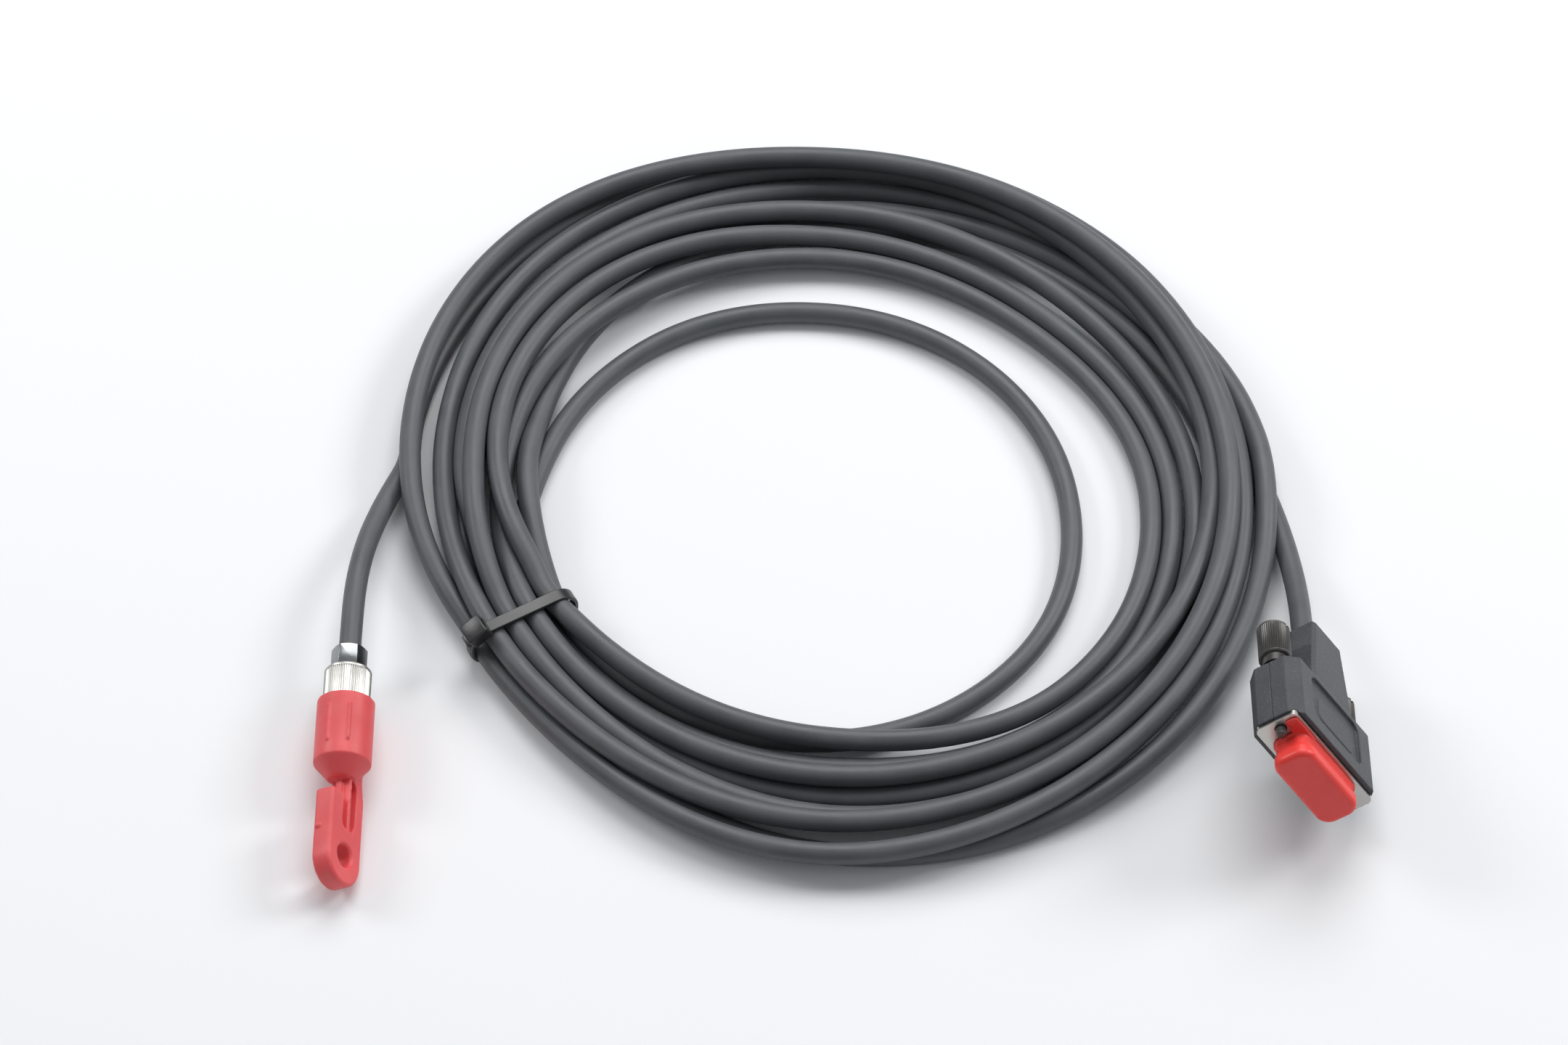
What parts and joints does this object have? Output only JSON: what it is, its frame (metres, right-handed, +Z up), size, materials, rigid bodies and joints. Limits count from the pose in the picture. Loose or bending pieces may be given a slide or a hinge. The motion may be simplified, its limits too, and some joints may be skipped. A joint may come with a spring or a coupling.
{
  "type": "sensor adapter cable",
  "caption": "Coiled grey sensor cable with a capped 15-way D-sub plug on one end and a capped round screw-lock plug on the other.",
  "frame": {"origin": "on the table under the middle of the two plugs", "axes": "+X from the round plug towards the D-sub plug, +Y from the plugs towards the coil, +Z up"},
  "size_m": [0.2796, 0.2505, 0.0446],
  "materials": {
    "cable_jacket": "matte",
    "hood_plastic": "fine texture",
    "nickel": "satin",
    "insulator_plastic": "matte",
    "gold": "polished",
    "spring_steel": "satin",
    "screw_black": "satin",
    "cap_bright": "soft satin",
    "cap_dull": "satin",
    "seal_rubber": "matte",
    "tie_nylon": "satin"
  },
  "bodies": {
    "cable_and_plugs": {"dsub_hood_upper": "hood_plastic", "dsub_hood_lower": "hood_plastic", "dsub_front_flange": "nickel", "dsub_rear_flange": "nickel", "dsub_insulator": "insulator_plastic", "dsub_contact_01": "gold", "dsub_contact_02": "gold", "dsub_contact_03": "gold", "dsub_contact_04": "gold", "dsub_contact_05": "gold", "dsub_contact_06": "gold", "dsub_contact_07": "gold", "dsub_contact_08": "gold", "dsub_contact_09": "gold", "dsub_contact_10": "gold", "dsub_contact_11": "gold", "dsub_contact_12": "gold", "dsub_contact_13": "gold", "dsub_contact_14": "gold", "dsub_contact_15": "gold", "dsub_ferrule": "nickel", "round_clamp_nut": "nickel", "round_cable_seal": "seal_rubber", "round_pinch_ring": "nickel", "round_sleeve": "nickel", "round_carrier": "nickel", "round_face_seal": "seal_rubber", "round_insert": "insulator_plastic", "round_pin_1": "gold", "round_pin_2": "gold", "round_pin_3": "gold", "round_pin_4": "gold", "round_pin_5": "gold", "round_pin_6": "gold", "round_pin_7": "gold", "round_pin_8": "gold", "cable_tie": "tie_nylon", "cable_coil": "cable_jacket", "cable_dsub_tail": "cable_jacket", "cable_round_tail": "cable_jacket", "cable_loose_turn": "cable_jacket"},
    "round_ring": {"round_coupling_ring": "nickel"},
    "round_dust_cap": {"round_cap": "cap_dull"},
    "dsub_dust_cap": {"dsub_cap": "cap_bright"},
    "clip_top": {"dsub_clip_top": "spring_steel"},
    "clip_bottom": {"dsub_clip_bottom": "spring_steel"},
    "screw_top": {"dsub_thumbscrew_top": "screw_black"},
    "screw_bottom": {"dsub_thumbscrew_bottom": "screw_black"}
  },
  "joints": [
    {"name": "round_cap_pull", "type": "slide", "parent": "cable_and_plugs", "child": "round_dust_cap", "axis": [-0.016, -0.997, -0.076], "range_m": [0, 0.014]},
    {"name": "round_ring_turn", "type": "hinge", "parent": "cable_and_plugs", "child": "round_ring", "pos_m": [-0.13161, 0.02792, 0.01184], "axis": [-0.016, -0.997, -0.076], "continuous": true},
    {"name": "dsub_cap_pull", "type": "slide", "parent": "cable_and_plugs", "child": "dsub_dust_cap", "axis": [-0.013, -0.9743, 0.2251], "range_m": [0, 0.02]},
    {"name": "screw_top_float", "type": "slide", "parent": "cable_and_plugs", "child": "clip_top", "axis": [0.013, 0.9743, -0.2251], "range_m": [0, 0.003]},
    {"name": "screw_top_turn", "type": "hinge", "parent": "clip_top", "child": "screw_top", "pos_m": [0.11426, 0.02866, 0.03074], "axis": [-0.013, -0.9743, 0.2251], "continuous": true},
    {"name": "screw_bottom_float", "type": "slide", "parent": "cable_and_plugs", "child": "clip_bottom", "axis": [0.013, 0.9743, -0.2251], "range_m": [0, 0.003]},
    {"name": "screw_bottom_turn", "type": "hinge", "parent": "clip_bottom", "child": "screw_bottom", "pos_m": [0.13332, 0.02227, 0.00419], "axis": [-0.013, -0.9743, 0.2251], "continuous": true}
  ]
}
